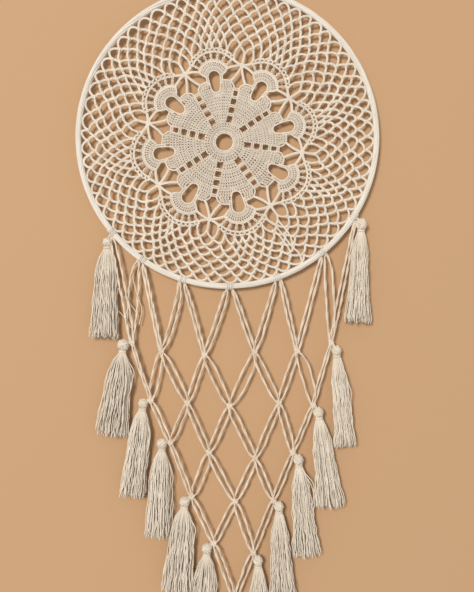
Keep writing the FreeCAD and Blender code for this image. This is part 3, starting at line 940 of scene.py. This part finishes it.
def build_fan(yarn, sector):
    """The fan round a petal's drop: close posts, open posts with gaps, and a scalloped band."""
    heads = np.radians(np.linspace(-66, 66, 15))
    feet = np.radians(np.linspace(-78, 78, 15))
    posts(yarn, fan_point(sector, 7.4, feet), fan_point(sector, FAN_RIM, heads), 1.75,
          radius=0.42, wraps=2)
    limit = math.radians(70)
    arc_row(yarn, sector, FAN_RIM, -limit, limit, 0.45, 0.5, 0.15, FAN)
    arc_row(yarn, sector, FAN_RIM + 1.5, -limit * 0.92, limit * 0.92, 0.5, 0.5, 0.3, FAN)
    for s in (-1, 1):
        # the fan's slanting sides
        x0, y0 = 8.0 * math.cos(math.radians(88)), 8.0 * math.sin(math.radians(88))
        x1, y1 = 15.9 * math.cos(math.radians(68)), 15.9 * math.sin(math.radians(68))
        middle = (FAN + (x0 + x1) / 2 - 0.5, (y0 + y1) / 2 + 0.2)
        curve(yarn, sector, [(FAN + x0, y0), middle, (FAN + x1, y1)], s, 0.5, 0.5)
    # open posts with the gaps between them
    theta = (np.arange(7) - 3) * GAP_PITCH
    posts(yarn, fan_point(sector, GAP_START, theta), fan_point(sector, GAP_END, theta), 2.7, radius=0.52)
    # band of small loops beyond the gaps
    limit = 3 * GAP_PITCH + 0.06
    arc_row(yarn, sector, BAND, -limit, limit, 0.7, 0.62, 0.3, FAN)
    scallops = 12
    for k in range(scallops):
        low = -limit + 2 * limit * k / scallops
        high = low + 2 * limit / scallops
        t = np.linspace(0, math.pi, 11)
        a = (low + high) / 2 - (high - low) / 2 * np.cos(t) * 1.08
        reach = BAND + 0.6 + (BAND_EDGE - BAND) * np.sin(t) ** 0.8
        chain(yarn, fan_point(sector, reach, a, 0.3 * (-1) ** k), 0.62, 0.58, 2.6)


def double_chain(yarn, path):
    """Two chains side by side."""
    gap = 0.55
    side = np.cross(unit(np.gradient(path, axis=0)), BACK)
    for sign in (-1, 1):
        chain(yarn, path + side * sign * gap, 0.4, 0.48, 3.6)


def build_star(yarn, sector):
    """The chains that meet between two fans, and the arches over the star's outer openings."""
    hub = star_point(sector, 0, 0)
    for s in (-1, 1):
        near = sector if s < 0 else sector + 1
        landings = [(petal_point(near, 59.4, -s * 16.0), 1.0 * s),
                    (fan_point(near, 15.9, -s * math.radians(66)), -0.9 * s),
                    (fan_point(near, 26.6, -s * math.radians(54)), 0.7 * s)]
        for landing, bow in landings:
            t = np.linspace(0, 1, 18)[:, None]
            path = hub + (landing - hub) * t
            across = np.cross(unit(landing - hub), BACK)
            double_chain(yarn, path + across * bow * 4 * t * (1 - t))
    t = np.linspace(0, 1, 14)
    double_chain(yarn, star_point(sector, 10.6 * t, 0 * t))
    t = np.linspace(0, TAU, 16, endpoint=False)
    for size, lift in ((1.1, 0.5), (1.9, 0.0)):
        ring = star_point(sector, size * np.cos(t), size * np.sin(t), lift + 0.4 * np.cos(3 * t))
        yarn.lay(ring, 0.65, 7, closed=True)
    # arches over its two outer openings
    for s in (-1, 1):
        peak_u, peak_r = peak_place(0, sector + 0.5 + s * 0.5 / LOOPS)
        foot_u, foot_r = sector + 0.5, 88.9
        side_u, side_r = sector + 0.5 + s * 0.150, 86.6
        theta = np.linspace(0, math.pi / 2, 12)
        power = 1.3
        u = np.concatenate([peak_u + (foot_u - peak_u) * np.cos(theta) ** power,
                            (peak_u + (side_u - peak_u) * np.cos(theta) ** power)[::-1][1:]])
        r = np.concatenate([foot_r + (peak_r - foot_r) * np.sin(theta) ** power,
                            (side_r + (peak_r - side_r) * np.sin(theta) ** power)[::-1][1:]])
        chain(yarn, lace_point(u, r))


# where the rounds were joined: bunched chains from the last fan out to the hoop
SEAM = [
    [(34.5, -227.5), (44.5, -231.5), (53.0, -241.0), (59.5, -249.5), (65.0, -256.5), (71.5, -262.0),
     (74.5, -270.0)],
    [(50.5, -229.5), (56.5, -236.5), (62.5, -244.5), (66.0, -256.0)],
    [(45.0, -239.0), (50.5, -243.5), (56.0, -250.0), (62.0, -259.0), (63.5, -267.0)],
]


def build_seam(yarn):
    for route in SEAM:
        chain(yarn, web(smooth_line(np.array(route), 8), -0.3), 0.7, 0.62)


def build_lace():
    sector_yarn = build_net()
    build_seam(sector_yarn[-1])
    for sector, yarn in enumerate(sector_yarn):
        build_petal(yarn, sector)
        build_fan(yarn, sector)
        build_star(yarn, sector)
        piece = yarn.make(f"lace_{sector + 1}", LACE)
        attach(piece, "hoop")
        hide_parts("doily")


# ---------------------------------------------------------------- stage, light and camera

WALL_DEPTH = 0.0105
WALL_COLOUR = (0.46, 0.285, 0.158, 1)
MIDDLE = Vector((0, 0, -0.3))
# name, place, size and power of each lamp
LAMPS = (("key", (-1.25, -4.3, 0.6), 1.0, 182.0), ("back", (0.8, 2.0, 0.6), 1.5, 20.0))
LENS = 50
SENSOR = 36
VIEW_HEIGHT = 0.592


def wall_material():
    """Matt paper, clear when seen from behind."""
    material = bpy.data.materials.new("backdrop_paper")
    material.use_nodes = True
    tree = material.node_tree
    shader = tree.nodes["Principled BSDF"]
    shader.inputs["Base Color"].default_value = WALL_COLOUR
    shader.inputs["Roughness"].default_value = 0.95
    shader.inputs["Specular IOR Level"].default_value = 0.1
    clear = node(tree, "ShaderNodeBsdfTransparent")
    side = node(tree, "ShaderNodeNewGeometry")
    mix = node(tree, "ShaderNodeMixShader")
    tree.links.new(side.outputs["Backfacing"], mix.inputs["Fac"])
    tree.links.new(shader.outputs["BSDF"], mix.inputs[1])
    tree.links.new(clear.outputs["BSDF"], mix.inputs[2])
    tree.links.new(mix.outputs["Shader"], tree.nodes["Material Output"].inputs["Surface"])
    return material


def build_wall():
    place = (0, WALL_DEPTH, MIDDLE.z)
    bpy.ops.mesh.primitive_plane_add(size=6, location=place, rotation=(math.pi / 2, 0, 0))
    wall = bpy.context.object
    wall.name = "backdrop"
    wall.data.materials.append(wall_material())
    wall.visible_shadow = False


def build_lights():
    world = bpy.data.worlds.new("studio")
    bpy.context.scene.world = world
    world.use_nodes = True
    world.node_tree.nodes["Background"].inputs["Color"].default_value = (1.0, 0.99, 0.97, 1)
    world.node_tree.nodes["Background"].inputs["Strength"].default_value = 0.545
    for name, place, size, power in LAMPS:
        lamp = bpy.data.lights.new(name, "AREA")
        lamp.size = size
        lamp.energy = power
        lamp.color = (1.0, 0.985, 0.96)
        obj = bpy.data.objects.new(name, lamp)
        obj.location = place
        obj.rotation_euler = (MIDDLE - obj.location).to_track_quat("-Z", "Y").to_euler()
        bpy.context.scene.collection.objects.link(obj)
    bpy.context.scene.view_settings.view_transform = "Standard"


def build_camera():
    """Straight in front, far enough for the view to be VIEW_HEIGHT metres high at the web."""
    camera = bpy.data.objects.new("camera", bpy.data.cameras.new("camera"))
    camera.data.lens = LENS
    camera.data.sensor_width = SENSOR
    camera.location = (0.0096, -VIEW_HEIGHT * LENS / SENSOR, -0.3052)
    camera.rotation_euler = (math.pi / 2, 0, 0)
    bpy.context.scene.collection.objects.link(camera)
    bpy.context.scene.camera = camera


build_hoop()
build_lace()
build_hitches()
build_runs()
build_knots()
for tassel_name, (head_at, head_size, end_at, end_size) in TASSELS.items():
    build_tassel(tassel_name, head_at, head_size, end_at, end_size)
build_wall()
build_lights()
build_camera()
